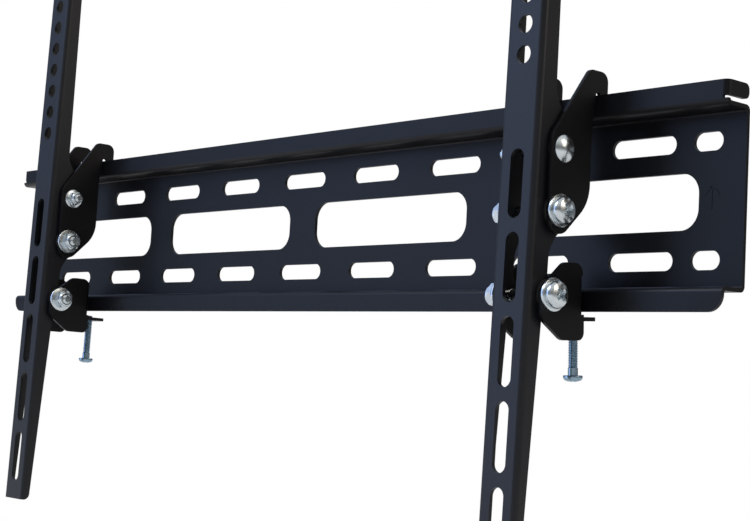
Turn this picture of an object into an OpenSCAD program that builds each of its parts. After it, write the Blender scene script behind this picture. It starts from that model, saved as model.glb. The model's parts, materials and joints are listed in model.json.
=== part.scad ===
// Tilting wall mount for a flat screen: a folded wall plate with a hook rail along its top
// and a latch rail along its bottom, and two upright arms that hang on it, tilt and latch.
// Origin: centre of the wall plate's back face, on the wall. +Y points into the wall, +Z up.

/* [Wall plate] */
// Length of the wall plate
plate_len = 638; // [560:1:720]
// Thickness of all the folded steel sheet
sheet_t = 2; // [1.5:0.1:3]
// Inside radius of every fold
fold_r = 1; // [0.6:0.1:2]
// Half height from the middle to the outer face of each rail's floor
rail_z = 43; // [40:0.5:46]
// Depth from the wall to the front of the rails
rail_depth = 17.3; // [16:0.1:19]
// Height that each rail's lip stands past its floor
lip_h = 9.7; // [8:0.1:12]
// Radius of the bottom lip's lower end corners
lip_corner_r = 8; // [4:0.5:9]
// Radius of the end tabs' back corners
tab_corner_r = 3; // [1:0.5:3.5]
// Height of the cut between an end tab and the rail's floor
tab_relief = 1.4; // [0.8:0.1:2.5]
// Gap between an end tab and the wall
tab_wall_gap = 1; // [0.3:0.1:2]

/* [Wall slots and windows] */
// Distance from one wall slot to the next
slot_pitch = 65; // [55:0.5:69]
// Number of long slots in a row
slots_per_row = 9; // [3:2:9]
// End to end length of a long slot
slot_len = 39; // [25:0.5:41]
// Height of every wall slot
slot_h = 9; // [6:0.5:10]
// End to end length of the short slots at the plate's ends
end_slot_len = 16.5; // [12:0.5:18]
// Distance of the short slots' middles from the plate's ends
end_slot_inset = 21; // [14:0.5:26]
// Height of the slot rows above and below the middle
row_z = 27.8; // [25:0.1:31]
// Width of a window
window_w = 128.5; // [90:0.5:134]
// Height of a window
window_h = 27; // [16:0.5:32]
// Distance from one window to the next
window_pitch = 152.8; // [145:0.1:158]
// Corner radius of a window
window_r = 10; // [3:0.5:10.5]

/* [Arms] */
// Width of an arm
arm_w = 24; // [22:0.5:28]
// Length of an arm above the pivot
arm_above = 219.3; // [200:1:240]
// Length of an arm below the pivot
arm_below = 206.7; // [200:1:230]
// Depth of the flanges at the arm's top end
flange_top = 8.5; // [7:0.1:11]
// Depth of the flanges just above the upper ear
flange_mid = 11.8; // [10.5:0.1:13]
// Depth of the flanges at the arm's bottom end
flange_bottom = 5.4; // [4.5:0.1:8]
// Distance from the arm's front face back to its pivot bolt
bolt_depth = 15.5; // [14:0.1:17]
// Diameter of the round holes in the arm's front
arm_hole_d = 9; // [6:0.5:10]
// Number of round holes in an arm
arm_holes = 12; // [4:1:12]
// Distance from one round hole to the next
arm_hole_pitch = 15; // [12:0.5:15]
// Height of the lowest round hole above the pivot
arm_hole_z = 44.6; // [40:0.1:50]
// Width of the long slots in the arm's front
arm_slot_w = 8.5; // [6:0.5:10]
// End to end length of a long slot in the arm's front
arm_slot_len = 33.4; // [24:0.1:35]
// Distance from one long slot in the arm's front to the next
arm_slot_pitch = 40; // [36:0.5:41]
// Number of long slots in an arm
arm_slots = 5; // [2:1:5]
// Drop from the pivot to the top of the first long slot
arm_slot_drop = 1.2; // [0:0.1:3]

/* [Hook plates] */
// Depth of the pivot bolt in front of the wall
pivot_y = 39.2; // [38.5:0.1:42]
// Height of the pivot bolt above the plate's middle
pivot_z = 23.4; // [21:0.1:25]
// Drop from the pivot bolt to the lock bolt
lock_drop = 29.9; // [27:0.1:32]
// Drop from the pivot bolt to the latch bolt
latch_drop = 70; // [69:0.1:71]
// Clear gap between an arm's flange and the plates beside it
side_gap = 1.7; // [1:0.1:2.5]
// Height of the hook plates' top above the rail's floor
hook_top = 22; // [18:0.5:26]
// Width of the hook's tail in the rail
tail_w = 5.6; // [4:0.1:6.5]
// Height of the notch over the lip's edge
notch_air = 1.7; // [0.5:0.1:3]
// Width of the notch above the lip
notch_w = 3.1; // [2.6:0.1:4]
// Distance from the pivot bolt to the front edge of the hook plates
hook_front = 8.5; // [7.5:0.1:10]
// Distance from the lock bolt to the bottom of the hook plates
hook_foot = 11; // [9:0.1:12]
// Width of the hook plates' foot
hook_foot_w = 10.4; // [10:0.1:16]

/* [Latches] */
// Depth of a latch behind its bolt
latch_back = 22.9; // [22.5:0.1:23.2]
// Distance from the latch's bolt to its front edge
latch_front = 7.5; // [6:0.1:9]
// Height of a latch above its bolt
latch_up = 15.7; // [12:0.1:16]
// Height of a latch below its bolt
latch_down = 21.4; // [18:0.1:24]
// Drop from the latch's bolt to the top of its tongue
tongue_drop = 10; // [9.5:0.1:12]
// Length of the tongue behind the latch
tongue_len = 17.6; // [13:0.1:18]
// Width of the tongue
tongue_w = 20; // [14:0.5:24]
// Distance from the tongue's free end to the security screw
screw_inset = 7.3; // [5:0.1:9]

/* [Fasteners] */
// Diameter of the pivot bolts
pivot_bolt_d = 5; // [4:0.5:6]
// Diameter of the pivot bolts' domed heads
dome_d = 13.4; // [12:0.1:15]
// Height of the pivot bolts' domed heads
dome_h = 3.3; // [2.5:0.1:4]
// Diameter of the flange of the pivot nuts
flange_nut_d = 12; // [11:0.1:14]
// Height of the pivot nuts
flange_nut_h = 5.4; // [4.5:0.1:7]
// Width across the flats of the pivot nuts
flange_nut_af = 8; // [7.5:0.1:10]
// Diameter of the lock and latch bolts
big_bolt_d = 6; // [5:0.5:7]
// Diameter of the lock and latch bolts' heads
big_head_d = 13.4; // [12:0.1:15]
// Height of the lock and latch bolts' heads
big_head_h = 5; // [4:0.1:6]
// Diameter of the steel washers
washer_d = 16; // [14:0.1:17]
// Thickness of the steel washers
washer_t = 1.5; // [1:0.1:2]
// Width across the flats of the big nuts
big_nut_af = 10; // [9.5:0.1:12]
// Height of the big nuts
big_nut_h = 5.4; // [4.5:0.1:6.5]
// Diameter of the plastic spacers
spacer_d = 15; // [13:0.1:16]
// Diameter of the security screws
screw_d = 5; // [4:0.5:6]
// Length of the security screws under the head
screw_len = 30; // [26:1:32]
// Diameter of the security screws' heads
screw_head_d = 9.6; // [8:0.1:11]
// Height of the security screws' heads
screw_head_h = 3.2; // [2.5:0.1:4]
// Length of a security screw's tip that stands above its tongue
screw_tip = 1.4; // [0.5:0.1:1.8]

/* [Pose] */
// Distance from the plate's left end to the left arm's middle
left_inset = 95.1; // [50:0.1:260]
// Distance from the plate's right end to the right arm's middle
right_inset = 92.7; // [50:0.1:260]
// Tilt of the left arm, foot away from the wall
left_tilt = 1.5; // [0:0.1:3]
// Tilt of the right arm, foot away from the wall
right_tilt = 1.3; // [0:0.1:3]
// Turn of the left latch, foot away from the wall
left_latch_turn = 1; // [-4:0.1:10]
// Turn of the right latch, foot away from the wall
right_latch_turn = -2.85; // [-4:0.1:10]
// Largest tilt that the arms' slots allow
tilt_max = 10; // [6:0.5:10]

/* [Hidden] */
$fn = 64;

LEFT = -1;
RIGHT = 1;
black = [0.13, 0.13, 0.15];
zinc = [0.78, 0.80, 0.82];
nylon = [0.08, 0.08, 0.08];

cut = 1;                 // how far a cutting shape runs past a face
hole_clear = 0.05;       // radial clearance of a bolt in a round hole
slot_clear = 0.2;        // clearance of a bolt in a curved slot, each way
seat_gap = 0.2;          // gap between a hook's tail and the rail's floor
ear_wall = 4;            // least sheet left round an arm's slots and holes
rub_gap = 0.1;           // gap between a spacer and the flange that turns beside it
fold_out = sheet_t + fold_r;
half_len = plate_len / 2;
lip_top = rail_z + lip_h;
plate_in = arm_w / 2 + side_gap;        // inner face of the plates beside an arm
plate_out = plate_in + sheet_t;         // outer face of the plates beside an arm
bolt_end = 1.4;          // length of a lock or latch bolt's end past its nut
pivot_bolt_end = 2;      // length of a pivot bolt's end past its nut
latch_set_back = 4.2;    // how much further from the wall the latch bolt stands than the pivot
lock_set_back = 1.7;     // the same for the lock bolt
latch_lean = asin(latch_set_back / latch_drop);
lock_lean = asin(lock_set_back / lock_drop);
latch_y = pivot_y + latch_set_back;
latch_z = pivot_z - latch_drop * cos(latch_lean);
lock_y = pivot_y + lock_set_back;
lock_z = pivot_z - lock_drop * cos(lock_lean);
latch_wall_top = latch_up - 6;          // top of the wall between a latch's side plates
screw_u = latch_back + tongue_len - screw_inset;
tongue_end = latch_back + tongue_len;
pivot_end = plate_out + flange_nut_h + pivot_bolt_end;    // inner ends of the bolts
big_end = plate_out + washer_t + big_nut_h + bolt_end;
slot_room = half_len - end_slot_inset - end_slot_len / 2 - slot_len / 2;
wall_pitch = min(slot_pitch, (slot_room - sheet_t) * 2 / (slots_per_row - 1));
opening_pitch = min(window_pitch, plate_len / 4.1);
opening_w = min(window_w, opening_pitch - window_r);

// Unit vector along v
function unit(v) = v / norm(v);

// Vector v turned by an angle
function turned(v, a) = [v[0] * cos(a) - v[1] * sin(a), v[0] * sin(a) + v[1] * cos(a)];

// Points of the arc that rounds corner b between its neighbours a and c
function corner_arc(a, b, c, r, n = 8) =
    let (u = unit(a - b), w = unit(c - b), half = acos(u * w) / 2)
    let (middle = b + unit(u + w) * r / sin(half), start = b + u * r / tan(half))
    let (turn = (180 - 2 * half) * (cross(u, w) > 0 ? -1 : 1))
    [for (i = [0:n]) middle + turned(start - middle, turn * i / n)];

// Outline through corners [x, y, r], each rounded with its own radius r
function rounded(p) =
    let (n = len(p))
    [for (i = [0:n - 1])
        let (a = p[(i + n - 1) % n], b = p[i], c = p[(i + 1) % n])
        each b[2] > 0 ? corner_arc([a[0], a[1]], [b[0], b[1]], [c[0], c[1]], b[2]) : [[b[0], b[1]]]];

// Sheet of thickness t drawn as a [Y, Z] outline, from x0 towards +X
module side_sheet(points, x0, t) {
    translate([x0, 0, 0]) rotate([90, 0, 90]) linear_extrude(t) polygon(points);
}

// Quarter of a fold along X: corner [y, z] is the middle of the bend, from a0 to a0 + 90 degrees
module fold_x(y, z, a0, x0, length) {
    translate([x0, y, z]) rotate([90, 0, 90]) rotate([0, 0, a0]) quarter_fold(length);
}

// Quarter of a fold that stands on the XY plane, in the first quadrant
module quarter_fold(length) {
    intersection() {
        difference() {
            cylinder(r = fold_out, h = length);
            translate([0, 0, -cut]) cylinder(r = fold_r, h = length + 2 * cut);
        }
        cube([fold_out, fold_out, length]);
    }
}

// Obround or rounded rectangle, w by h with corners of radius r, centred
module rounded_rect(w, h, r) {
    union() {
        if (w > 2 * r) square([w - 2 * r, h], center = true);
        if (h > 2 * r) square([w, h - 2 * r], center = true);
        for (x = [-1, 1], y = [-1, 1]) translate([x * (w / 2 - r), y * (h / 2 - r)]) circle(r);
    }
}

// Cutter through the wall plate, seen from the front
module plate_cut(x, z, w, h, r) {
    translate([x, cut, z]) rotate([90, 0, 0]) linear_extrude(sheet_t + 2 * cut) rounded_rect(w, h, r);
}

// One rail: the plate's edge folded forward into a floor, then up into a lip
module rail(length) {
    x0 = -length / 2;
    fold_x(-fold_out, rail_z - fold_out, 0, x0, length);
    translate([x0, -rail_depth + fold_out, rail_z - sheet_t])
        cube([length, rail_depth - 2 * fold_out, sheet_t]);
    fold_x(-rail_depth + fold_out, rail_z + fold_r, 180, x0, length);
}

// Lip of the top rail with an end tab folded back towards the wall at each end
module tabbed_lip() {
    foot = rail_z + fold_r;
    tab_z = foot + tab_relief;
    lip_end = half_len - fold_out;
    translate([-lip_end, -rail_depth, foot]) cube([2 * lip_end, sheet_t, lip_top - foot]);
    for (s = [-1, 1]) scale([s, 1, 1]) {
        translate([lip_end, -rail_depth + fold_out, tab_z]) rotate([0, 0, -90]) quarter_fold(lip_top - tab_z);
        side_sheet(rounded([[-rail_depth + fold_out, tab_z, 0], [-tab_wall_gap, tab_z, tab_corner_r],
                            [-tab_wall_gap, lip_top, tab_corner_r], [-rail_depth + fold_out, lip_top, 0]]),
                   half_len - sheet_t, sheet_t);
    }
}

// Lip of the bottom rail, with its lower end corners rounded
module plain_lip() {
    foot = rail_z + fold_r;
    outline = rounded([[-half_len, foot, 0], [half_len, foot, 0],
                       [half_len, lip_top, lip_corner_r], [-half_len, lip_top, lip_corner_r]]);
    translate([0, -rail_depth + sheet_t, 0]) rotate([90, 0, 0]) linear_extrude(sheet_t) polygon(outline);
}

module wall_plate() {
    flat_h = 2 * (rail_z - fold_out);
    color(black) difference() {
        union() {
            translate([-half_len, -sheet_t, -flat_h / 2]) cube([plate_len, sheet_t, flat_h]);
            rail(plate_len);
            tabbed_lip();
            mirror([0, 0, 1]) rail(plate_len);
            mirror([0, 0, 1]) plain_lip();
        }
        for (z = [-row_z, row_z]) {
            for (i = [0:slots_per_row - 1])
                plate_cut((i - (slots_per_row - 1) / 2) * wall_pitch, z, slot_len, slot_h, slot_h / 2);
            for (s = [-1, 1]) plate_cut(s * (half_len - end_slot_inset), z, end_slot_len, slot_h, slot_h / 2);
        }
        for (i = [-1.5:1:1.5]) plate_cut(i * opening_pitch, 0, opening_w, window_h, window_r);
    }
}

// Place of a side's hanger: what it holds is drawn as the right side, bolt heads outward
module hanger(side) {
    translate([side == LEFT ? left_inset - half_len : half_len - right_inset, 0, 0])
        scale([side, 1, 1]) children();
}

// Place of an arm: its own origin is on the pivot's axis
module on_pivot(side) {
    tilt = side == LEFT ? left_tilt : right_tilt;
    hanger(side) translate([0, -pivot_y, pivot_z]) rotate([-tilt, 0, 0]) children();
}

// Place of a latch: its own origin is on its bolt's axis
module on_latch(side) {
    turn = side == LEFT ? left_latch_turn : right_latch_turn;
    hanger(side) translate([0, -latch_y, latch_z]) rotate([-turn, 0, 0]) children();
}

// Outline of an arm seen from its side, with an ear round the pivot and lock bolts
// and an ear round the latch bolt
function arm_outline() =
    let (f = -bolt_depth, ear = big_bolt_d / 2 + slot_clear + ear_wall)
    let (lock_end = lock_drop * sin(tilt_max - lock_lean) + ear)
    let (latch_end = latch_drop * sin(tilt_max - latch_lean) + ear)
    rounded([[f - cut, arm_above, 0],
             [f + flange_top, arm_above, 3],
             [f + flange_mid, pivot_bolt_d + 22, 12],
             [pivot_bolt_d / 2 + ear_wall, pivot_bolt_d + 5, 7],
             [lock_end, ear - lock_drop, 8],
             [lock_end, -ear / 2 - lock_drop, 7],
             [lock_end - 9.4, -ear - 5 - lock_drop, 8],
             [f + flange_mid + 1.1, -latch_drop + ear + 14, 14],
             [f + flange_mid + 0.9, -latch_drop + ear, 3],
             [latch_end, -latch_drop + ear, ear - 0.3],
             [latch_end, -latch_drop - ear, ear - 0.3],
             [f + flange_mid - 1.2, -latch_drop - ear, 3],
             [f + flange_bottom, -arm_below, 4],
             [f - cut, -arm_below, 0]]);

// Point at distance 1 below the pivot, turned by an angle
function below(a) = [-sin(a), -cos(a)];

// Outline of a slot along an arc about the pivot, for a bolt that the arm swings past as it tilts
function arc_slot(reach, lean, n = 8) =
    let (w = big_bolt_d / 2 + slot_clear, play = asin(slot_clear / reach))
    let (a0 = lean + play, a1 = lean - tilt_max - play)
    [each [for (i = [0:n]) (reach + w) * below(a0 + (a1 - a0) * i / n)],
     each [for (i = [1:n - 1]) reach * below(a1) + w * below(a1 - 180 * i / n)],
     each [for (i = [n:-1:0]) (reach - w) * below(a0 + (a1 - a0) * i / n)],
     each [for (i = [n - 1:-1:1]) reach * below(a0) + w * below(a0 + 180 * i / n)]];

// Channel of an arm, folded from one sheet: front face on Y = 0, two flanges of the given depth
module arm_channel(depth, length) {
    translate([-arm_w / 2 + fold_out, 0, 0]) cube([arm_w - 2 * fold_out, sheet_t, length]);
    for (s = [-1, 1]) scale([s, 1, 1]) {
        translate([arm_w / 2 - fold_out, fold_out, 0]) rotate([0, 0, -90]) quarter_fold(length);
        translate([arm_w / 2 - sheet_t, fold_out, 0]) cube([sheet_t, depth - fold_out, length]);
    }
}

module arm(side) {
    x0 = -arm_w / 2 - cut;
    length = arm_w + 2 * cut;
    color(black) on_pivot(side) difference() {
        intersection() {
            translate([0, -bolt_depth, -arm_below - cut])
                arm_channel(3 * bolt_depth, arm_above + arm_below + 2 * cut);
            side_sheet(arm_outline(), x0, length);
        }
        for (i = [0:arm_holes - 1])
            translate([0, cut - bolt_depth + sheet_t, arm_hole_z + i * arm_hole_pitch])
                rotate([90, 0, 0]) cylinder(d = arm_hole_d, h = sheet_t + 2 * cut);
        for (i = [0:arm_slots - 1])
            translate([0, cut - bolt_depth + sheet_t, -arm_slot_drop - arm_slot_len / 2 - i * arm_slot_pitch])
                rotate([90, 0, 0]) linear_extrude(sheet_t + 2 * cut)
                    rounded_rect(arm_slot_w, arm_slot_len, arm_slot_w / 2);
        rotate([0, 90, 0]) cylinder(r = pivot_bolt_d / 2 + hole_clear, h = length, center = true);
        side_sheet(arc_slot(lock_drop, lock_lean), x0, length);
        side_sheet(arc_slot(latch_drop, latch_lean), x0, length);
    }
}

// Outline of a hook plate: tail in the rail, notch over the lip, and the bolts' plate below
function hook_outline() =
    let (lip_back = -rail_depth + sheet_t, tail_front = lip_back + 0.7, front = -pivot_y - hook_front)
    let (top = rail_z + hook_top, foot = lock_z - hook_foot, back = -rail_depth - 2.2)
    let (tail_foot = rail_z + seat_gap, notch_top = lip_top + notch_air)
    rounded([[tail_front, tail_foot, 1],
             [tail_front + tail_w, tail_foot, 2],
             [tail_front + tail_w, top, 5],
             [back - 3, top, 4.5],
             [front, pivot_z + 6.3, 12],
             [front, foot, 6.4],
             [front + hook_foot_w, foot, 8],
             [back, pivot_z - 23.6, 20],
             [back, rail_z - sheet_t - 2, 0],
             [tail_front - notch_w, rail_z + fold_out, 0],
             [tail_front - notch_w, notch_top, 1.4],
             [tail_front, notch_top, 1.4]]);

// Hook plate whose inner face is at x0
module hook_plate(side, x0) {
    color(black) hanger(side) difference() {
        side_sheet(hook_outline(), x0, sheet_t);
        bolt_hole(x0, -pivot_y, pivot_z, pivot_bolt_d);
        bolt_hole(x0, -lock_y, lock_z, big_bolt_d);
    }
}

// Round hole for a bolt through a sheet whose inner face is at x0
module bolt_hole(x0, y, z, d) {
    translate([x0 - cut, y, z]) rotate([0, 90, 0]) cylinder(r = d / 2 + hole_clear, h = sheet_t + 2 * cut);
}

// Head with a flat seat on the XY plane and a spherical top of height h
module domed(d, h, rim) {
    ball = (d * d / 4 + (h - rim) * (h - rim)) / (2 * (h - rim));
    intersection() {
        cylinder(d = d, h = h);
        translate([0, 0, h - ball]) sphere(r = ball, $fn = 96);
    }
}

// Cross recess cut into a head of height h
module cross_recess(h, span, deep) {
    blade = span / 4.2;
    for (a = [0, 90]) rotate([0, 0, a]) translate([-span / 2, -blade / 2, h - deep]) cube([span, blade, deep + cut]);
}

// Ring with a bevelled outer edge
module ring(d, hole_d, t, bevel) {
    rotate_extrude() polygon([[hole_d / 2, 0], [d / 2 - bevel, 0], [d / 2, bevel],
                              [d / 2, t - bevel], [d / 2 - bevel, t], [hole_d / 2, t]]);
}

// Hexagonal nut with bevelled corners, af across the flats
module hex_nut(af, h, hole_d) {
    corner = af / cos(30) / 2;
    bevel = corner - af / 2;
    difference() {
        intersection() {
            cylinder(r = corner, h = h, $fn = 6);
            rotate_extrude() polygon([[0, 0], [af / 2, 0], [corner, bevel / 2],
                                      [corner, h - bevel / 2], [af / 2, h], [0, h]]);
        }
        translate([0, 0, -cut]) cylinder(d = hole_d, h = h + 2 * cut);
    }
}

// Smooth bolt with a domed head; the shank runs along -Z from the seat
module dome_bolt(d, length) {
    domed(dome_d, dome_h, 0.5);
    translate([0, 0, -length]) cylinder(d = d, h = length + cut / 2);
}

// Bolt with a crowned head and a cross recess; the shank runs along -Z from the seat
module cross_bolt(d, length, head_d, head_h, rim) {
    difference() {
        domed(head_d, head_h, rim);
        cross_recess(head_h, head_d * 0.55, head_h * 0.5);
    }
    translate([0, 0, -length]) cylinder(d = d, h = length + cut / 2);
}

// Place on a bolt's axis, +Z outward along the bolt, origin at distance x from the arm's middle
module on_axis(x, y, z) {
    translate([x, y, z]) rotate([0, 90, 0]) children();
}

module pivot_bolt(side) {
    color(zinc) hanger(side) on_axis(plate_out, -pivot_y, pivot_z)
        dome_bolt(pivot_bolt_d, plate_out + pivot_end);
}

module pivot_nut(side) {
    bore_d = pivot_bolt_d + 2 * hole_clear;
    rim_h = 1.4;
    color(zinc) hanger(side) on_axis(-plate_out, -pivot_y, pivot_z) mirror([0, 0, 1]) union() {
        ring(flange_nut_d, bore_d, rim_h, 0.4);
        translate([0, 0, rim_h]) hex_nut(flange_nut_af, flange_nut_h - rim_h, bore_d);
    }
}

// Pair of plastic spacers between an arm's flanges and the plates beside it
module spacers(hole_d) {
    t = side_gap - rub_gap;
    for (x = [-plate_in, plate_in - t]) translate([x, 0, 0]) rotate([0, 90, 0]) ring(spacer_d, hole_d, t, 0.2);
}

module pivot_spacers(side) {
    color(nylon) hanger(side) translate([0, -pivot_y, pivot_z]) spacers(pivot_bolt_d + 2 * hole_clear);
}

// Lock or latch bolt on the X axis, with its head outward
module big_bolt() {
    on_axis(plate_out + washer_t, 0, 0)
        cross_bolt(big_bolt_d, plate_out + washer_t + big_end, big_head_d, big_head_h, 1.2);
}

// Steel washers under the big bolt's head and nut
module big_washers() {
    bore_d = big_bolt_d + 2 * hole_clear;
    for (x = [-plate_out - washer_t, plate_out]) on_axis(x, 0, 0) ring(washer_d, bore_d, washer_t, 0.25);
}

module big_nut() {
    on_axis(-plate_out - washer_t, 0, 0) mirror([0, 0, 1])
        hex_nut(big_nut_af, big_nut_h, big_bolt_d + 2 * hole_clear);
}

module on_lock(side) {
    hanger(side) translate([0, -lock_y, lock_z]) children();
}

// Outline of a latch's side plates about its bolt, a little narrower above the folded wall
function latch_outline() =
    rounded([[-latch_front, 3, 6],
             [8.4, latch_up, 6],
             [latch_back - 0.9, latch_up, 5.4],
             [latch_back - 0.9, latch_wall_top, 0],
             [latch_back, latch_wall_top, 0],
             [latch_back, -latch_down, 4],
             [7, -latch_down, 7],
             [-latch_front, -11.4, 7]]);

module latch(side) {
    wall_foot = -tongue_drop + fold_r;
    wall_h = latch_wall_top - wall_foot;
    color(black) on_latch(side) difference() {
        union() {
            for (x = [-plate_out, plate_in]) difference() {
                side_sheet(latch_outline(), x, sheet_t);
                translate([x - cut, latch_back - fold_out, wall_foot])
                    cube([sheet_t + 2 * cut, fold_out + cut, wall_h]);
            }
            for (s = [-1, 1]) scale([s, 1, 1])
                translate([plate_out - fold_out, latch_back - fold_out, wall_foot]) quarter_fold(wall_h);
            translate([fold_out - plate_out, latch_back - sheet_t, wall_foot])
                cube([2 * (plate_out - fold_out), sheet_t, wall_h]);
            tongue();
        }
        for (x = [-plate_out, plate_in]) bolt_hole(x, 0, 0, big_bolt_d);
        translate([0, screw_u, -tongue_drop - sheet_t - cut])
            cylinder(r = screw_d / 2 + hole_clear, h = sheet_t + 2 * cut);
    }
}

// Tongue folded back from the foot of the latch's wall, to reach under the bottom rail
module tongue() {
    fold_x(latch_back + fold_r, -tongue_drop + fold_r, 180, -tongue_w / 2, tongue_w);
    outline = rounded([[-tongue_w / 2, latch_back + fold_r, 0], [tongue_w / 2, latch_back + fold_r, 0],
                       [tongue_w / 2, tongue_end, 4], [-tongue_w / 2, tongue_end, 4]]);
    translate([0, 0, -tongue_drop - sheet_t]) linear_extrude(sheet_t) polygon(outline);
}

// Security screw in the tongue, head down, its tip just above the tongue
module security_screw(side) {
    color(zinc) on_latch(side) translate([0, screw_u, -tongue_drop + screw_tip - screw_len])
        mirror([0, 0, 1]) cross_bolt(screw_d, screw_len, screw_head_d, screw_head_h, 0.8);
}

module left_arm() { arm(LEFT); }
module left_hook_plate_outer() { hook_plate(LEFT, plate_in); }
module left_hook_plate_inner() { hook_plate(LEFT, -plate_out); }
module left_pivot_bolt() { pivot_bolt(LEFT); }
module left_pivot_nut() { pivot_nut(LEFT); }
module left_pivot_spacers() { pivot_spacers(LEFT); }
module left_lock_bolt() { color(zinc) on_lock(LEFT) big_bolt(); }
module left_lock_washers() { color(zinc) on_lock(LEFT) big_washers(); }
module left_lock_nut() { color(zinc) on_lock(LEFT) big_nut(); }
module left_lock_spacers() { color(nylon) on_lock(LEFT) spacers(big_bolt_d + 2 * hole_clear); }
module left_latch() { latch(LEFT); }
module left_latch_bolt() { color(zinc) on_latch(LEFT) big_bolt(); }
module left_latch_washers() { color(zinc) on_latch(LEFT) big_washers(); }
module left_latch_nut() { color(zinc) on_latch(LEFT) big_nut(); }
module left_latch_spacers() { color(nylon) on_latch(LEFT) spacers(big_bolt_d + 2 * hole_clear); }
module left_security_screw() { security_screw(LEFT); }

module right_arm() { arm(RIGHT); }
module right_hook_plate_outer() { hook_plate(RIGHT, plate_in); }
module right_hook_plate_inner() { hook_plate(RIGHT, -plate_out); }
module right_pivot_bolt() { pivot_bolt(RIGHT); }
module right_pivot_nut() { pivot_nut(RIGHT); }
module right_pivot_spacers() { pivot_spacers(RIGHT); }
module right_lock_bolt() { color(zinc) on_lock(RIGHT) big_bolt(); }
module right_lock_washers() { color(zinc) on_lock(RIGHT) big_washers(); }
module right_lock_nut() { color(zinc) on_lock(RIGHT) big_nut(); }
module right_lock_spacers() { color(nylon) on_lock(RIGHT) spacers(big_bolt_d + 2 * hole_clear); }
module right_latch() { latch(RIGHT); }
module right_latch_bolt() { color(zinc) on_latch(RIGHT) big_bolt(); }
module right_latch_washers() { color(zinc) on_latch(RIGHT) big_washers(); }
module right_latch_nut() { color(zinc) on_latch(RIGHT) big_nut(); }
module right_latch_spacers() { color(nylon) on_latch(RIGHT) spacers(big_bolt_d + 2 * hole_clear); }
module right_security_screw() { security_screw(RIGHT); }

wall_plate();
left_arm();
left_hook_plate_outer();
left_hook_plate_inner();
left_pivot_bolt();
left_pivot_nut();
left_pivot_spacers();
left_lock_bolt();
left_lock_washers();
left_lock_nut();
left_lock_spacers();
left_latch();
left_latch_bolt();
left_latch_washers();
left_latch_nut();
left_latch_spacers();
left_security_screw();
right_arm();
right_hook_plate_outer();
right_hook_plate_inner();
right_pivot_bolt();
right_pivot_nut();
right_pivot_spacers();
right_lock_bolt();
right_lock_washers();
right_lock_nut();
right_lock_spacers();
right_latch();
right_latch_bolt();
right_latch_washers();
right_latch_nut();
right_latch_spacers();
right_security_screw();
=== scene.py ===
import json
import math

import bpy
from mathutils import Matrix, Vector


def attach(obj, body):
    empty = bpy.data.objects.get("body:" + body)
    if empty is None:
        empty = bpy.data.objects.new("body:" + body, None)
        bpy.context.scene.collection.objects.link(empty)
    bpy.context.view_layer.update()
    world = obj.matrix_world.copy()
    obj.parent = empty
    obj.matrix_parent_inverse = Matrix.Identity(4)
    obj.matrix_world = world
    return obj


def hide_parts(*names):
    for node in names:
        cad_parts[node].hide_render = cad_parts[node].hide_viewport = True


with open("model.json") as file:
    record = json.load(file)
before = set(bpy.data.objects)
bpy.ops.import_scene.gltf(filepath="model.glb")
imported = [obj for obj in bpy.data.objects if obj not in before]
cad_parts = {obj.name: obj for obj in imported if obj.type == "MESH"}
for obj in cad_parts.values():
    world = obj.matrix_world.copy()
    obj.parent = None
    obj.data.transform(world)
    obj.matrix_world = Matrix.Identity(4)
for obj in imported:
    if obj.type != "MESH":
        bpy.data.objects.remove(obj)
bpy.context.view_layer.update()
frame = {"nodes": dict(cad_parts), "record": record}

scene = bpy.context.scene
MM = 0.001

# The mount's own sizes in millimetres, the same as in its source.
SIDES = {"left": -1, "right": 1}
ARM_X = {"left": -223.9, "right": 226.3}
TILT = {"left": 1.5, "right": 1.3}
LATCH_TURN = {"left": 1.0, "right": -2.85}
SHEET_T = 2.0
HALF_LEN = 319.0

# The wall plate's slots and windows.
SLOT_PITCH = 65
SLOTS_PER_ROW = 9
SLOT_LEN = 39
SLOT_H = 9
END_SLOT_LEN = 16.5
END_SLOT_INSET = 21
ROW_Z = 27.8
WINDOWS = 4
WINDOW_W = 128.5
WINDOW_H = 27
WINDOW_R = 10
WINDOW_PITCH = 152.8

# The arms' holes and slots, measured along the arm from its pivot.
ARM_FACE = 15.5                # from the pivot's axis to the arm's front
ARM_HOLES = 12
ARM_HOLE_D = 9
ARM_HOLE_PITCH = 15
ARM_HOLE_Z = 44.6
ARM_SLOTS = 5
ARM_SLOT_W = 8.5
ARM_SLOT_LEN = 33.4
ARM_SLOT_PITCH = 40
ARM_SLOT_DROP = 1.2

# The punches that cut round holes: a little larger than the solid's holes, to leave no facet of them.
PUNCH_DEPTH = 2 * SHEET_T
PUNCH_ROOM = 0.02

# The bolts' places on a hanger. The drops are distances from the pivot's axis to the other axes.
PIVOT_Y = -39.2
PIVOT_Z = 23.4
LOCK_DROP = 29.9
LOCK_SET_BACK = 1.7
LATCH_DROP = 70.0
LATCH_SET_BACK = 4.2
PLATE_FACE = 15.7              # from the arm's middle to the outer face of the plates beside it
SCREW_BEHIND = 33.2            # from the latch bolt's axis towards the wall
TONGUE_DROP = 10               # from the latch bolt's axis down to the tongue
SCREW_TIP = 1.4                # how far the screw stands out of the tongue

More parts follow.
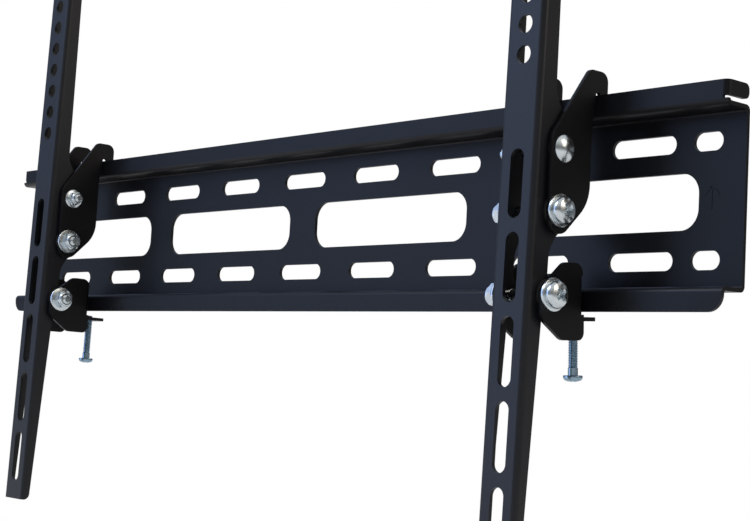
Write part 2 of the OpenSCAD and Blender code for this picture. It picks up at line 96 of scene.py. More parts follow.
# The fasteners. A bolt's end is what stands out of its nut.
BIG_BOLT_D = 6
BIG_BOLT_END = 1.4
BIG_HEAD_D = 13.4
BIG_HEAD_H = 4.8
BIG_HEAD_R = 2.6
BIG_THREAD = 16
BIG_NUT_AF = 10.6
BIG_NUT_H = 7.0
WASHER_D = 16
WASHER_T = 1.5
BIG_REACH = PLATE_FACE + WASHER_T
PIVOT_BOLT_D = 5
PIVOT_BOLT_END = 2.0
DOME_D = 13.4
DOME_H = 3.3
PIVOT_THREAD = 12
PIVOT_NUT_AF = 8.4
PIVOT_NUT_H = 7.0
PIVOT_FLANGE_D = 12.6
SCREW_D = 5
SCREW_LEN = 30
SCREW_HEAD_D = 9.6
SCREW_HEAD_H = 3.2
SCREW_HEAD_R = 1.7
SCREW_THREAD = 26
M6_PITCH = 1.0
M5_PITCH = 0.8
BORE_CLEARANCE = 0.1
THREAD_DEPTH = 0.61            # as a share of the pitch
CROWN_LEAN = 20                # degrees between a pan head's crown and its side's arc
CROSS_TURN = 35                # degrees that a cross recess is turned about its bolt
HEX_TURN = 11                  # degrees that a nut is turned about its bolt

# The camera in pixels, radians and metres, solved from the plate's slots, windows and edges in the photo.
FOCAL_PX = 1536.29
FRAME_W = 750
FRAME_H = 521
CENTRE_X = 395.30
CENTRE_Y = 245.89
YAW = 0.8348
PITCH = 0.0884
ROLL = 0.0521
EYE = (0.7257, -0.5824, -0.0912)
SENSOR_W = 36

# Sockets of a colour mix, by number.
MIX_SHARE = 0
MIX_FIRST = 6
MIX_SECOND = 7
MIX_RESULT = 2


def linear(hex_colour):
    """An sRGB hex colour as linear RGBA."""
    parts = [int(hex_colour[i:i + 2], 16) / 255 for i in (1, 3, 5)]
    return [p / 12.92 if p <= 0.04045 else ((p + 0.055) / 1.055) ** 2.4 for p in parts] + [1.0]


def add_node(owner, kind, settings=None, links=None):
    """Adds a node. Settings are its properties and input values, links feed its inputs by name or number."""
    made = owner.node_tree.nodes.new(kind)
    for key, value in (settings or {}).items():
        if isinstance(key, str) and hasattr(made, key):
            setattr(made, key, value)
        else:
            made.inputs[key].default_value = value
    for key, socket in (links or {}).items():
        owner.node_tree.links.new(socket, made.inputs[key])
    return made


def new_finish(name):
    """A new material with an empty node tree."""
    finish = bpy.data.materials.new(name)
    finish.use_nodes = True
    finish.node_tree.nodes.clear()
    return finish


def satin_powder_coat(name, deep, pale, shine):
    """Folded steel sheet under a satin black polyester powder coat, sprayed and baked.

    The powder melts into a skin that shows a faint orange peel with hills about 1.5 mm apart, over a
    grain of about 0.4 mm. Its tone and gloss drift slowly, over about 70 mm, with the coat's thickness."""
    m = new_finish(name)
    place = add_node(m, "ShaderNodeTexCoord").outputs["Object"]
    peel = add_node(m, "ShaderNodeTexNoise", {"Scale": 650.0, "Detail": 2.0, "Roughness": 0.5},
                    {"Vector": place})
    grain = add_node(m, "ShaderNodeTexNoise", {"Scale": 2600.0, "Detail": 2.0, "Roughness": 0.6},
                     {"Vector": place})
    drift = add_node(m, "ShaderNodeTexNoise", {"Scale": 14.0, "Detail": 2.0, "Roughness": 0.5},
                     {"Vector": place})
    gloss = add_node(m, "ShaderNodeMapRange",
                     {"From Min": 0.3, "From Max": 0.7, "To Min": 0.34, "To Max": 0.42},
                     {"Value": drift.outputs["Fac"]})
    tone = add_node(m, "ShaderNodeMix",
                    {"data_type": "RGBA", MIX_FIRST: linear(deep), MIX_SECOND: linear(pale)},
                    {MIX_SHARE: drift.outputs["Fac"]})
    hills = add_node(m, "ShaderNodeBump", {"Strength": 0.10, "Distance": 0.0004},
                     {"Height": peel.outputs["Fac"]})
    fine = add_node(m, "ShaderNodeBump", {"Strength": 0.08, "Distance": 0.0001},
                    {"Height": grain.outputs["Fac"], "Normal": hills.outputs["Normal"]})
    coat = add_node(m, "ShaderNodeBsdfPrincipled", {"IOR": 1.5, "Specular IOR Level": shine},
                    {"Base Color": tone.outputs[MIX_RESULT], "Roughness": gloss.outputs["Result"],
                     "Normal": fine.outputs["Normal"]})
    add_node(m, "ShaderNodeOutputMaterial", None, {"Surface": coat.outputs["BSDF"]})
    return m


def passivated_zinc(name, cold, pale):
    """Turned and pressed steel with an electroplated zinc skin under a thin passivation.

    The skin is mirror-like and a little cloudy, with patches of about 2 mm. A clear passivation leaves it
    silvery and cold, and a thicker blue one tints what it reflects."""
    m = new_finish(name)
    place = add_node(m, "ShaderNodeTexCoord").outputs["Object"]
    cloud = add_node(m, "ShaderNodeTexNoise", {"Scale": 480.0, "Detail": 3.0, "Roughness": 0.55},
                     {"Vector": place})
    gloss = add_node(m, "ShaderNodeMapRange",
                     {"From Min": 0.3, "From Max": 0.7, "To Min": 0.2, "To Max": 0.3},
                     {"Value": cloud.outputs["Fac"]})
    tone = add_node(m, "ShaderNodeMix",
                    {"data_type": "RGBA", MIX_FIRST: linear(cold), MIX_SECOND: linear(pale)},
                    {MIX_SHARE: cloud.outputs["Fac"]})
    skin = add_node(m, "ShaderNodeBsdfPrincipled", {"Metallic": 1.0},
                    {"Base Color": tone.outputs[MIX_RESULT], "Roughness": gloss.outputs["Result"]})
    add_node(m, "ShaderNodeOutputMaterial", None, {"Surface": skin.outputs["BSDF"]})
    return m


def moulded_nylon():
    """Black nylon 6, injection moulded: a soft low sheen with a moulded grain of about 0.5 mm."""
    m = new_finish("moulded_black_nylon")
    place = add_node(m, "ShaderNodeTexCoord").outputs["Object"]
    grain = add_node(m, "ShaderNodeTexNoise", {"Scale": 1800.0, "Detail": 2.0}, {"Vector": place})
    rise = add_node(m, "ShaderNodeBump", {"Strength": 0.15, "Distance": 0.0001},
                    {"Height": grain.outputs["Fac"]})
    skin = add_node(m, "ShaderNodeBsdfPrincipled",
                    {"Base Color": linear("#131313"), "Roughness": 0.55, "IOR": 1.53},
                    {"Normal": rise.outputs["Normal"]})
    add_node(m, "ShaderNodeOutputMaterial", None, {"Surface": skin.outputs["BSDF"]})
    return m


powder_coat = satin_powder_coat("satin_black_powder_coat", "#0a0b0e", "#0f1013", 0.24)
# The arms' coat is a lighter and glossier copy of the plate's coat: painted light and painted sheen for the
# stronger light the arms catch in front of the plate.
lit_arm_coat = satin_powder_coat("satin_black_powder_coat_painted_lighter_for_arms", "#15171b", "#1b1d22", 0.36)
clear_zinc = passivated_zinc("bright_zinc_plate", "#c8d6e2", "#e1e6e5")
blue_zinc = passivated_zinc("blue_zinc_plate", "#86a3b8", "#a9bfcd")
nylon = moulded_nylon()
FINISHES = {"black_steel": powder_coat, "zinc_plate": clear_zinc, "black_nylon": nylon}

# The spacers keep their CAD solids, so every CAD node gets its finish too.
for part in frame["record"]["subparts"]:
    cad = frame["nodes"][part["node"]]
    cad.data.materials.clear()
    cad.data.materials.append(FINISHES[part["material_slot"]])
body_of = {name: body for body, names in frame["record"]["behaviour"]["bodies"].items() for name in names}
slot_of = {part["node"]: part["material_slot"] for part in frame["record"]["subparts"]}


def mm(*values):
    """Millimetres as metres."""
    return tuple(value * MM for value in values)


def shift(x, y, z):
    """A move by millimetres, as a matrix."""
    return Matrix.Translation(mm(x, y, z))


def turn_about(axis, degrees):
    """A turn about a main axis, as a matrix."""
    return Matrix.Rotation(math.radians(degrees), 4, axis)


def pick(*pieces):
    """Selects only these pieces, the first one active."""
    bpy.ops.object.select_all(action="DESELECT")
    for piece in pieces:
        piece.select_set(True)
    bpy.context.view_layer.objects.active = pieces[0]


def fix_place(piece):
    """Keeps a piece's place, turn and size in its mesh."""
    pick(piece)
    bpy.ops.object.transform_apply(location=True, rotation=True, scale=True)


def select_points(piece, wanted):
    """In edit mode, selects the vertices for which wanted(x, y, z in mm) holds."""
    bpy.ops.mesh.select_mode(type="VERT")
    bpy.ops.mesh.select_all(action="DESELECT")
    bpy.ops.object.mode_set(mode="OBJECT")
    for vertex in piece.data.vertices:
        vertex.select = bool(wanted(*(vertex.co / MM)))
    bpy.ops.object.mode_set(mode="EDIT")


def arc(x, z, r, start, end, steps=6):
    """Points of an arc about (x, z) from one angle to another, in degrees."""
    turns = [math.radians(start + (end - start) * i / steps) for i in range(steps + 1)]
    return [(x + r * math.cos(a), z + r * math.sin(a)) for a in turns]


def block(width, depth, height, place=(0, 0, 0)):
    """A block with its sizes along X, Y and Z, about a place."""
    bpy.ops.object.select_all(action="DESELECT")
    bpy.ops.mesh.primitive_cube_add(size=1, location=mm(*place))
    piece = bpy.context.object
    piece.scale = mm(width, depth, height)
    fix_place(piece)
    return piece


def turned(name, outline, steps=64):
    """A part turned on a lathe from its outline, (radius, height) in millimetres, about the Z axis."""
    bpy.ops.object.select_all(action="DESELECT")
    bpy.ops.mesh.primitive_plane_add(size=MM, location=mm(outline[0][0], 0, outline[0][1]))
    piece = bpy.context.object
    piece.name = name
    fix_place(piece)
    bpy.ops.object.mode_set(mode="EDIT")
    bpy.ops.mesh.select_mode(type="VERT")
    bpy.ops.mesh.select_all(action="SELECT")
    bpy.ops.mesh.merge(type="CENTER")
    for (r0, z0), (r1, z1) in zip(outline, outline[1:]):
        bpy.ops.mesh.extrude_vertices_move(TRANSFORM_OT_translate={"value": mm(r1 - r0, 0, z1 - z0)})
    bpy.ops.mesh.select_all(action="SELECT")
    bpy.ops.mesh.spin(steps=steps, angle=2 * math.pi, center=(0, 0, 0), axis=(0, 0, 1))
    bpy.ops.mesh.select_all(action="SELECT")
    bpy.ops.mesh.remove_doubles(threshold=0.002 * MM)
    bpy.ops.mesh.normals_make_consistent(inside=False)
    bpy.ops.object.mode_set(mode="OBJECT")
    return piece


def carve(piece, tool, how="DIFFERENCE"):
    """Cuts a piece with a tool, or keeps what the two share, and removes the tool."""
    step = piece.modifiers.new("carve", "BOOLEAN")
    step.operation = how
    step.solver = "EXACT"
    step.object = tool
    pick(piece)
    bpy.ops.object.modifier_apply(modifier=step.name)
    bpy.data.objects.remove(tool, do_unlink=True)


def weld(name, *pieces):
    """Joins pieces into one object."""
    pick(*pieces)
    if len(pieces) > 1:
        bpy.ops.object.join()
    piece = bpy.context.object
    piece.name = name
    return piece


def twin(piece, name, place):
    """A copy with its own mesh, put in place by a matrix, with the place kept in its mesh."""
    copy = bpy.data.objects.new(name, piece.data.copy())
    scene.collection.objects.link(copy)
    copy.matrix_world = place
    fix_place(copy)
    return copy


def smooth(piece, angle=38):
    """Smooth shading, with edges that turn by more than the angle kept crisp."""
    pick(piece)
    bpy.ops.object.shade_smooth_by_angle(angle=math.radians(angle))


def break_edges(piece, width, angle=50, segments=2):
    """Rounds every sharp edge a little, as deburring and paint leave it, and keeps the flat faces flat."""
    edge = piece.modifiers.new("edge", "BEVEL")
    edge.width = width * MM
    edge.segments = segments
    edge.limit_method = "ANGLE"
    edge.angle_limit = math.radians(angle)
    edge.use_clamp_overlap = True
    pick(piece)
    bpy.ops.object.modifier_apply(modifier=edge.name)
    smooth(piece)
    even = piece.modifiers.new("even", "WEIGHTED_NORMAL")
    even.mode = "FACE_AREA"
    even.weight = 100
    even.keep_sharp = True
    bpy.ops.object.modifier_apply(modifier=even.name)


def stands_for(piece, node_name, finish=None):
    """The piece takes a CAD node's place: its body and, unless another is given, the finish of its slot."""
    piece.data.materials.clear()
    piece.data.materials.append(finish or FINISHES[slot_of[node_name]])
    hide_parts(node_name)
    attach(piece, body_of[node_name])


def thread(r_core, r_crest, pitch, low, high, steps=24):
    """A rolled thread on the Z axis between two heights: one helical ridge, its root sunk in the core."""
    root_sunk = 0.2
    root_width = 0.9
    crest_share = 0.14
    bpy.ops.object.select_all(action="DESELECT")
    bpy.ops.mesh.primitive_plane_add(size=1, rotation=(math.pi / 2, 0, 0))
    ridge = bpy.context.object
    ridge.scale = mm(r_crest - r_core + root_sunk, root_width * pitch, 1)
    ridge.location = mm((r_crest + r_core - root_sunk) / 2, 0, low - pitch)
    fix_place(ridge)
    bpy.ops.object.mode_set(mode="EDIT")
    select_points(ridge, lambda x, y, z: x > r_core + 0.01)
    bpy.ops.transform.resize(value=(1, 1, crest_share))
    bpy.ops.object.mode_set(mode="OBJECT")
    wind = ridge.modifiers.new("wind", "SCREW")
    wind.axis = "Z"
    wind.screw_offset = pitch * MM
    wind.iterations = math.ceil((high - low) / pitch) + 2
    wind.steps = steps
    wind.render_steps = steps
    pick(ridge)
    bpy.ops.object.modifier_apply(modifier=wind.name)
    bpy.ops.object.mode_set(mode="EDIT")
    bpy.ops.mesh.select_all(action="SELECT")
    bpy.ops.mesh.remove_doubles(threshold=0.0005 * MM)
    bpy.ops.mesh.select_all(action="SELECT")
    bpy.ops.mesh.fill_holes(sides=4)
    bpy.ops.mesh.select_all(action="SELECT")
    bpy.ops.mesh.normals_make_consistent(inside=False)
    bpy.ops.object.mode_set(mode="OBJECT")
    point = (r_crest - r_core) * 1.2
    envelope = turned("envelope", [(0, low), (r_crest - point, low), (r_crest, low + point),
                                   (r_crest, high - 0.1), (r_core, high), (0, high)])
    carve(ridge, envelope, "INTERSECT")
    return ridge


def shank(d, pitch, length, threaded):
    """Outline of a bolt's shank down -Z: its chamfered end, its thread's core and its plain part."""
    core = d / 2 - THREAD_DEPTH * pitch
    run_out = -length + threaded
    return [(0, -length), (core - 0.5 * pitch, -length), (core, -length + 0.5 * pitch), (core, run_out),
            (d / 2, run_out + 0.3), (d / 2, 0)]


def with_thread(name, bolt, d, pitch, length, threaded):
    """Shades a turned bolt and adds the thread at its end."""
    smooth(bolt)
    ridge = thread(d / 2 - THREAD_DEPTH * pitch, d / 2, pitch, -length, -length + threaded)
    smooth(ridge)
    return weld(name, bolt, ridge)


def cross_recess(piece, head_d, head_h):
    """Presses a cross recess into a head: two tapered blades at right angles."""
    span = head_d * 0.64
    wide = head_d * 0.18
    deep = head_h * 0.6
    above = 1
    for turn in (0, 90):
        blade = block(span, wide, deep + above, (0, 0, head_h - deep / 2 + above / 2))
        bpy.ops.object.mode_set(mode="EDIT")
        select_points(blade, lambda x, y, z: z < head_h - deep + 0.1)
        bpy.ops.transform.resize(value=(0.45, 0.7, 1))
        bpy.ops.object.mode_set(mode="OBJECT")
        blade.rotation_euler = (0, 0, math.radians(turn + CROSS_TURN))
        fix_place(blade)
        carve(piece, blade)


def crossed_bolt(name, d, pitch, length, threaded, head_d, head_h, corner):
    """A bolt with its seat on the XY plane, its shank down -Z and a pan head with a cross recess.

    The head's side rolls over by an arc, the corner, into its crown."""
    lean = math.radians(CROWN_LEAN)
    shoulder = head_d / 2 - corner
    ball = (shoulder + corner * math.sin(lean)) / math.sin(lean)
    side_top = head_h - ball * (1 - math.cos(lean)) - corner * math.cos(lean)
    foot = 0.3
    outline = shank(d, pitch, length, threaded) + [(head_d / 2 - foot, 0)]
    outline += arc(head_d / 2 - foot, foot, foot, -90, 0, 3)
    outline += arc(shoulder, side_top, corner, 0, 90 - CROWN_LEAN, 8)
    outline += arc(0, head_h - ball, ball, 90 - CROWN_LEAN, 90, 6)[1:-1] + [(0, head_h)]
    bolt = turned(name, outline)
    cross_recess(bolt, head_d, head_h)
    return with_thread(name, bolt, d, pitch, length, threaded)


def domed_bolt(name, d, pitch, length, threaded, head_d, head_h):
    """A smooth domed bolt for the pivot: seat on the XY plane, shank down -Z, thread at its end."""
    rim = 0.5
    foot = 0.2
    ball = (head_d ** 2 / 4 + (head_h - rim) ** 2) / (2 * (head_h - rim))
    lean = math.degrees(math.asin((head_d / 2 - foot) / ball))
    outline = shank(d, pitch, length, threaded)
    outline += [(head_d / 2 - foot, 0), (head_d / 2, foot), (head_d / 2, rim - 0.1)]
    outline += arc(0, head_h - ball, ball, 90 - lean, 90, 14)[:-1] + [(0, head_h)]
    return with_thread(name, turned(name, outline), d, pitch, length, threaded)


def hexagon(af, low, high):
    """A hexagonal bar on the Z axis, a given size across its flats."""
    bpy.ops.object.select_all(action="DESELECT")
    bpy.ops.mesh.primitive_cylinder_add(vertices=6, radius=af / 2 / math.cos(math.pi / 6) * MM,
                                        depth=(high - low) * MM, location=mm(0, 0, (low + high) / 2),
                                        rotation=(0, 0, math.radians(HEX_TURN)))
    bar = bpy.context.object
    fix_place(bar)
    return bar


def locking_nut(name, af, height, bore_d):
    """A hexagonal nut with a round crown that holds a locking ring. Its seat is on the XY plane."""
    corner = af / 2 / math.cos(math.pi / 6) + 0.1
    r = bore_d / 2
    crown = af / 2 - 0.35
    shoulder = height - 1.7
    outline = [(r + 0.4, 0), (af / 2 - 0.1, 0), (corner, 0.55), (corner, shoulder - 0.65),
               (crown + 0.15, shoulder), (crown, shoulder + 0.15)]
    outline += arc(crown - 0.9, height - 0.9, 0.9, 0, 80, 5)
    outline += [(r + 0.55, height - 0.05), (r + 0.35, height - 0.35), (r, height - 0.6)]
    outline += [(r, 0.4), (r + 0.4, 0)]
    nut = turned(name, outline)
    carve(nut, hexagon(af, -1, height + 1), "INTERSECT")
    smooth(nut, 25)
    return nut


def flange_nut(name, af, height, bore_d, flange_d):
    """A hexagonal nut on a thin round flange. Its seat is on the XY plane."""
    corner = af / 2 / math.cos(math.pi / 6) + 0.1
    r = bore_d / 2
    rim = flange_d / 2
    crown = af / 2 - 0.3
    flange = turned(name, [(r, 0), (rim - 0.25, 0), (rim, 0.3), (rim - 0.1, 0.75), (rim - 0.5, 0.95),
                           (af / 2, 1.55), (r, 1.6), (r, 0)])
    smooth(flange, 30)
    outline = [(r, 1.3), (corner, 1.3), (corner, height - 1.9), (crown + 0.1, height - 1.4),
               (crown, height - 1.2)]
    outline += arc(crown - 0.7, height - 0.7, 0.7, 0, 80, 5)
    outline += [(r + 0.4, height - 0.05), (r, height - 0.45), (r, 1.3)]
    nut = turned("hexagon_of_nut", outline)
    carve(nut, hexagon(af, 0, height + 1), "INTERSECT")
    smooth(nut, 25)
    return weld(name, flange, nut)


def washer(name, d, bore_d, t):
    """A punched washer with its edges rolled over a little."""
    rim = d / 2
    r = bore_d / 2
    piece = turned(name, [(r, 0.15), (r + 0.15, 0), (rim - 0.2, 0), (rim, 0.2), (rim, t - 0.35),
                          (rim - 0.1, t - 0.1), (rim - 0.35, t), (r + 0.15, t), (r, t - 0.15), (r, 0.15)])
    smooth(piece, 30)
    return piece


def set_back(drop, back):
    """Y and Z of a bolt's axis, from its distance to the pivot's axis and how much further out it stands."""
    return PIVOT_Y - back, PIVOT_Z - drop * math.cos(math.asin(back / drop))


AXES = {"pivot": (PIVOT_Y, PIVOT_Z),
        "lock": set_back(LOCK_DROP, LOCK_SET_BACK),
        "latch": set_back(LATCH_DROP, LATCH_SET_BACK)}


def on_hanger(side, axis, x):
    """A place on a bolt's axis, where +Z of the modelled fastener points away from the mount's middle."""
    outward = turn_about("Z", 0 if SIDES[side] > 0 else 180)
    along = Matrix(((0, 0, 1, 0), (0, 1, 0, 0), (-1, 0, 0, 0), (0, 0, 0, 1)))
    return shift(ARM_X[side], *AXES[axis]) @ outward @ shift(x, 0, 0) @ along


def flipped(place):
    """The same place with +Z the other way, for a nut at the inner end of a bolt."""
    return place @ turn_about("X", 180)


def with_latch(side, place):
    """A place turned with the latch, about its bolt, as it hangs at rest."""
    y, z = AXES["latch"]
    return shift(0, y, z) @ turn_about("X", -LATCH_TURN[side]) @ shift(0, -y, -z) @ place


def pivot_fasteners(side, bolt, nut):
    """The domed pivot bolt, with its head on the outer hook plate, and its nut on the inner one."""
    outer = on_hanger(side, "pivot", PLATE_FACE)
    inner = flipped(on_hanger(side, "pivot", -PLATE_FACE))
    stands_for(twin(bolt, side + "_domed_pivot_bolt", outer), side + "_pivot_bolt")
    stands_for(twin(nut, side + "_flanged_pivot_nut", inner), side + "_pivot_nut")


def big_fasteners(side, axis, bolt, nut, ring):
    """A lock or latch bolt with its nut and its two washers."""
    places = [on_hanger(side, axis, BIG_REACH), flipped(on_hanger(side, axis, -BIG_REACH)),
              on_hanger(side, axis, PLATE_FACE), flipped(on_hanger(side, axis, -PLATE_FACE))]
    if axis == "latch":
        places = [with_latch(side, place) for place in places]
    under_head, under_nut, outer, inner = places
    stands_for(twin(bolt, f"{side}_{axis}_crossed_bolt", under_head), f"{side}_{axis}_bolt")
    stands_for(twin(nut, f"{side}_{axis}_locking_nut", under_nut), f"{side}_{axis}_nut")
    pair = weld(f"{side}_{axis}_washer_pair", twin(ring, "outer", outer), twin(ring, "inner", inner))
    stands_for(pair, f"{side}_{axis}_washers")


def security_screw(side, screw):
    """The long screw that hangs head down in the latch's tongue."""
    hanging = shift(0, SCREW_BEHIND, -TONGUE_DROP + SCREW_TIP - SCREW_LEN) @ turn_about("X", 180)
    place = with_latch(side, shift(ARM_X[side], *AXES["latch"]) @ hanging)
    stands_for(twin(screw, side + "_crossed_security_screw", place), side + "_security_screw", blue_zinc)


def fasteners():
    """Models each kind of fastener once, at the origin, and copies it to its places on both hangers."""
    big_bolt = crossed_bolt("big_bolt", BIG_BOLT_D, M6_PITCH, 2 * BIG_REACH + BIG_NUT_H + BIG_BOLT_END,
                            BIG_THREAD, BIG_HEAD_D, BIG_HEAD_H, BIG_HEAD_R)
    big_nut = locking_nut("big_nut", BIG_NUT_AF, BIG_NUT_H, BIG_BOLT_D + BORE_CLEARANCE)
    big_washer = washer("big_washer", WASHER_D, BIG_BOLT_D + BORE_CLEARANCE, WASHER_T)
    pivot_bolt = domed_bolt("pivot_bolt", PIVOT_BOLT_D, M5_PITCH,
                            2 * PLATE_FACE + PIVOT_NUT_H + PIVOT_BOLT_END, PIVOT_THREAD, DOME_D, DOME_H)
    pivot_nut = flange_nut("pivot_nut", PIVOT_NUT_AF, PIVOT_NUT_H, PIVOT_BOLT_D + BORE_CLEARANCE,
                           PIVOT_FLANGE_D)
    screw = crossed_bolt("screw", SCREW_D, M5_PITCH, SCREW_LEN, SCREW_THREAD,
                         SCREW_HEAD_D, SCREW_HEAD_H, SCREW_HEAD_R)
    for side in SIDES:
        pivot_fasteners(side, pivot_bolt, pivot_nut)
        for axis in ("lock", "latch"):
            big_fasteners(side, axis, big_bolt, big_nut, big_washer)
        security_screw(side, screw)
    for model in (big_bolt, big_nut, big_washer, pivot_bolt, pivot_nut, screw):
        bpy.data.objects.remove(model, do_unlink=True)


def slot_punch(width, height, place):
    """A punch with round ends, from a cylinder whose halves are moved apart. It cuts along Y."""
    bpy.ops.object.select_all(action="DESELECT")
    bpy.ops.mesh.primitive_cylinder_add(vertices=64, radius=(min(width, height) / 2 + PUNCH_ROOM) * MM,
                                        depth=PUNCH_DEPTH * MM, rotation=(math.pi / 2, 0, 0))
    punch = bpy.context.object
    fix_place(punch)
    spread = (max(width, height) - min(width, height)) / 2
    along = Vector((1, 0, 0)) if width > height else Vector((0, 0, 1))
    if spread:
        bpy.ops.object.mode_set(mode="EDIT")
        for end in (-1, 1):
            select_points(punch, lambda x, y, z: (x * along.x + z * along.z) * end > -1e-4 * end)
            bpy.ops.transform.translate(value=along * (end * spread * MM))
        bpy.ops.object.mode_set(mode="OBJECT")
    punch.matrix_world = place
    fix_place(punch)
    return punch


def window_punch(width, height, r, place):
    """A punch with rounded corners: a block whose four edges along the cut are bevelled. It cuts along Y."""
    punch = block(width + 2 * PUNCH_ROOM, PUNCH_DEPTH, height + 2 * PUNCH_ROOM)
    corner = punch.modifiers.new("corner", "BEVEL")
    corner.affect = "EDGES"
    corner.width = r * MM
    corner.segments = 16
    corner.limit_method = "WEIGHT"
    weights = punch.data.attributes.new("bevel_weight_edge", "FLOAT", "EDGE")
    for edge in punch.data.edges:
        a, b = (punch.data.vertices[i].co for i in edge.vertices)
        weights.data[edge.index].value = 1.0 if abs(a.y - b.y) > 1e-6 else 0.0
    pick(punch)
    bpy.ops.object.modifier_apply(modifier=corner.name)
    punch.matrix_world = place
    fix_place(punch)
    return punch


def folded_sheet(node_name, name, punches=(), edge=0.28, coat=None):
    """A sheet part from its CAD solid: its holes punched round, and its edges broken under the paint."""
    sheet = bpy.data.objects.new(name, frame["nodes"][node_name].data.copy())
    scene.collection.objects.link(sheet)
    pick(sheet)
    bpy.ops.object.mode_set(mode="EDIT")
    bpy.ops.mesh.select_mode(type="VERT")
    bpy.ops.mesh.select_all(action="SELECT")
    bpy.ops.mesh.remove_doubles(threshold=0.001 * MM)
    bpy.ops.mesh.select_all(action="SELECT")
    bpy.ops.mesh.dissolve_limited(angle_limit=math.radians(0.5))
    bpy.ops.object.mode_set(mode="OBJECT")
    if punches:
        carve(sheet, weld("punches", *punches))
    break_edges(sheet, edge)
    stands_for(sheet, node_name, coat)


def wall_plate():
    """The wall plate, with two rows of slots and the windows between them."""
    in_sheet = -SHEET_T / 2
    middle_slot = (SLOTS_PER_ROW - 1) / 2
    punches = []
    for z in (-ROW_Z, ROW_Z):
        punches += [slot_punch(SLOT_LEN, SLOT_H, shift((i - middle_slot) * SLOT_PITCH, in_sheet, z))
                    for i in range(SLOTS_PER_ROW)]
        punches += [slot_punch(END_SLOT_LEN, SLOT_H, shift(end * (HALF_LEN - END_SLOT_INSET), in_sheet, z))
                    for end in (-1, 1)]
    middle_window = (WINDOWS - 1) / 2
    for i in range(WINDOWS):
        place = shift((i - middle_window) * WINDOW_PITCH, in_sheet, 0)
        punches.append(window_punch(WINDOW_W, WINDOW_H, WINDOW_R, place))
    folded_sheet("wall_plate", "folded_wall_plate", punches)


def arm(side):
    """An arm, with its round screen holes above and its long slots below."""
    face = (shift(ARM_X[side], PIVOT_Y, PIVOT_Z) @ turn_about("X", -TILT[side])
            @ shift(0, -ARM_FACE + SHEET_T / 2, 0))
    punches = [slot_punch(ARM_HOLE_D, ARM_HOLE_D, face @ shift(0, 0, ARM_HOLE_Z + ARM_HOLE_PITCH * i))
               for i in range(ARM_HOLES)]
    first_slot = -ARM_SLOT_DROP - ARM_SLOT_LEN / 2
    punches += [slot_punch(ARM_SLOT_W, ARM_SLOT_LEN, face @ shift(0, 0, first_slot - ARM_SLOT_PITCH * i))
                for i in range(ARM_SLOTS)]
    # The arms take the lighter, glossier coat, which holds painted light for the light they catch.
    folded_sheet(side + "_arm", side + "_folded_arm", punches, coat=lit_arm_coat)


def up_arrow():
    """A plain arrow pressed up by 0.2 mm near the plate's right end: this edge goes up."""
    bars = []
    for x, z, length, degrees in ((0, 0, 11, 0), (-2.1, 3.7, 6, 45), (2.1, 3.7, 6, -45)):
        bar = block(1.3, 0.6, length)
        bar.matrix_world = shift(300.5 + x, -SHEET_T + 0.1, 1 + z) @ turn_about("Y", degrees)
        fix_place(bar)
        bars.append(bar)
    arrow = weld("up_arrow", *bars)
    break_edges(arrow, 0.15)
    arrow.data.materials.append(powder_coat)
    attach(arrow, "wall")


def sheets():
    """Every folded part: the wall plate with its arrow, the arms, the hook plates and the latches."""
    wall_plate()
    for side in SIDES:
        arm(side)
        for place in ("outer", "inner"):
            folded_sheet(f"{side}_hook_plate_{place}", f"{side}_{place}_hook", edge=0.45)
        folded_sheet(side + "_latch", side + "_folded_latch")
    up_arrow()


def studio_floor():
    """White paper on the ground. Past the object's shadow it fades into the white background."""
    bpy.ops.object.select_all(action="DESELECT")
    bpy.ops.mesh.primitive_plane_add(size=12, location=(0, 0, -0.34))
    floor = bpy.context.object
    floor.name = "studio_floor"
    fix_place(floor)
    m = new_finish("white_paper_floor")
    paper = add_node(m, "ShaderNodeBsdfDiffuse", {"Color": linear("#f6f0e4")})
    glow = add_node(m, "ShaderNodeEmission", {"Strength": 1.0})
    place = add_node(m, "ShaderNodeTexCoord").outputs["Object"]
    away = add_node(m, "ShaderNodeVectorMath", {"operation": "LENGTH"}, {0: place})
    fade = add_node(m, "ShaderNodeMapRange", {"From Min": 0.8, "From Max": 1.3},
                    {"Value": away.outputs["Value"]})
    dim = add_node(m, "ShaderNodeMapRange", {"From Min": 1.2, "From Max": 4.5, "To Min": 0.5, "To Max": 0.2},
                   {"Value": away.outputs["Value"]})
    path = add_node(m, "ShaderNodeLightPath")
    mirrored = add_node(m, "ShaderNodeMath", {"operation": "MULTIPLY"},
                        {0: path.outputs["Is Glossy Ray"], 1: dim.outputs["Result"]})
    seen = add_node(m, "ShaderNodeMath", {"operation": "MAXIMUM"},
                    {0: path.outputs["Is Camera Ray"], 1: mirrored.outputs["Value"]})
    share = add_node(m, "ShaderNodeMath", {"operation": "MULTIPLY"},
                     {0: fade.outputs["Result"], 1: seen.outputs["Value"]})
    mix = add_node(m, "ShaderNodeMixShader", None,
                   {0: share.outputs["Value"], 1: paper.outputs["BSDF"], 2: glow.outputs["Emission"]})
    add_node(m, "ShaderNodeOutputMaterial", None, {"Surface": mix.outputs["Shader"]})
    floor.data.materials.append(m)


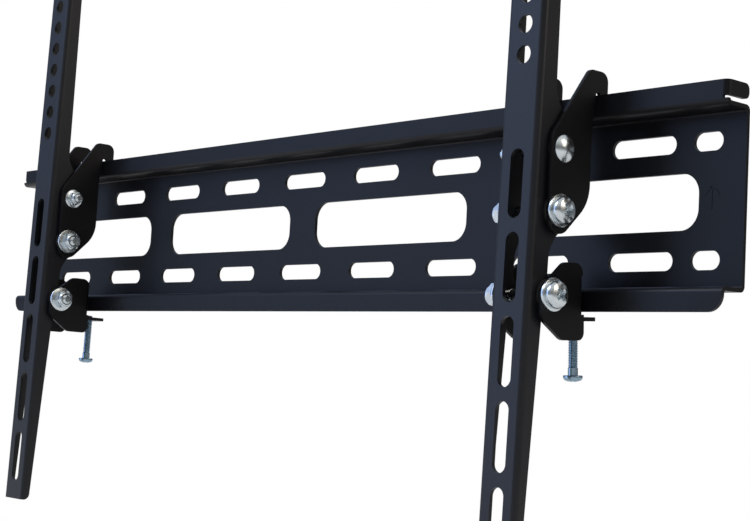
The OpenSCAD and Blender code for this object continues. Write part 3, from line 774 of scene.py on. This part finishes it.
def studio_world():
    """A white background for the camera, and for the light a room that is brighter on the left and above."""
    world = bpy.data.worlds.new("studio")
    scene.world = world
    world.use_nodes = True
    world.node_tree.nodes.clear()
    toward = add_node(world, "ShaderNodeTexCoord").outputs["Generated"]
    split = add_node(world, "ShaderNodeSeparateXYZ", None, {0: toward})
    on_left = add_node(world, "ShaderNodeMapRange",
                       {"From Min": -0.95, "From Max": -0.35, "To Min": 0.5, "To Max": 0.2,
                        "interpolation_type": "SMOOTHSTEP"}, {"Value": split.outputs["X"]})
    above = add_node(world, "ShaderNodeMapRange",
                     {"From Min": 0.1, "From Max": 0.8, "To Min": 0.0, "To Max": 0.7,
                      "interpolation_type": "SMOOTHSTEP"}, {"Value": split.outputs["Z"]})
    both = add_node(world, "ShaderNodeMath", {"operation": "ADD"},
                    {0: on_left.outputs["Result"], 1: above.outputs["Result"]})
    side = add_node(world, "ShaderNodeMapRange", {"From Min": -0.6, "From Max": 0.3},
                    {"Value": split.outputs["X"]})
    tint = add_node(world, "ShaderNodeMix",
                    {"data_type": "RGBA", MIX_FIRST: linear("#b4c6ea"), MIX_SECOND: linear("#e0dedb")},
                    {MIX_SHARE: side.outputs["Result"]})
    room = add_node(world, "ShaderNodeBackground", None,
                    {"Color": tint.outputs[MIX_RESULT], "Strength": both.outputs["Value"]})
    white = add_node(world, "ShaderNodeBackground", {"Color": (1, 1, 1, 1), "Strength": 1.0})
    path = add_node(world, "ShaderNodeLightPath")
    mix = add_node(world, "ShaderNodeMixShader", None,
                   {0: path.outputs["Is Camera Ray"], 1: room.outputs["Background"],
                    2: white.outputs["Background"]})
    add_node(world, "ShaderNodeOutputWorld", None, {"Surface": mix.outputs["Shader"]})


def softbox(name, place, target, width, height, watts, colour):
    """A rectangular softbox at a place in metres, aimed at a target."""
    lamp = bpy.data.lights.new(name, "AREA")
    lamp.shape = "RECTANGLE"
    lamp.size = width
    lamp.size_y = height
    lamp.energy = watts
    lamp.color = linear(colour)[:3]
    holder = bpy.data.objects.new(name, lamp)
    scene.collection.objects.link(holder)
    aim = Vector(target) - Vector(place)
    holder.matrix_world = Matrix.Translation(place) @ aim.to_track_quat("-Z", "Y").to_matrix().to_4x4()


def photo_camera():
    """A camera where the photographer's stood, with its direction, roll, lens and off-centre frame."""
    data = bpy.data.cameras.new("photo_camera")
    data.sensor_width = SENSOR_W
    data.lens = FOCAL_PX / FRAME_W * SENSOR_W
    data.shift_x = (FRAME_W / 2 - CENTRE_X) / FRAME_W
    data.shift_y = (CENTRE_Y - FRAME_H / 2) / FRAME_W
    data.clip_start = 0.01
    data.clip_end = 50
    ahead = Vector((-math.sin(YAW) * math.cos(PITCH), math.cos(YAW) * math.cos(PITCH), math.sin(PITCH)))
    level = Vector((math.cos(YAW), math.sin(YAW), 0))
    up = level.cross(ahead)
    x = math.cos(ROLL) * level + math.sin(ROLL) * up
    y = -math.sin(ROLL) * level + math.cos(ROLL) * up
    camera = bpy.data.objects.new("photo_camera", data)
    scene.collection.objects.link(camera)
    camera.matrix_world = Matrix.Translation(EYE) @ Matrix((x, y, -ahead)).transposed().to_4x4()
    scene.camera = camera


fasteners()
sheets()
studio_floor()
studio_world()
softbox("key_softbox", (-0.8, -1.5, 1.7), (0, 0, 0), 1.5, 1.0, 24, "#e6edff")
softbox("front_softbox", (-1.25, -1.6, 0.45), (0.15, 0, 0.05), 1.0, 1.5, 9, "#a9c2f5")
softbox("side_softbox", (1.9, 0.5, 1.1), (0.1, 0, 0), 0.9, 1.2, 9, "#fff0dd")
photo_camera()
scene.view_settings.view_transform = "Standard"
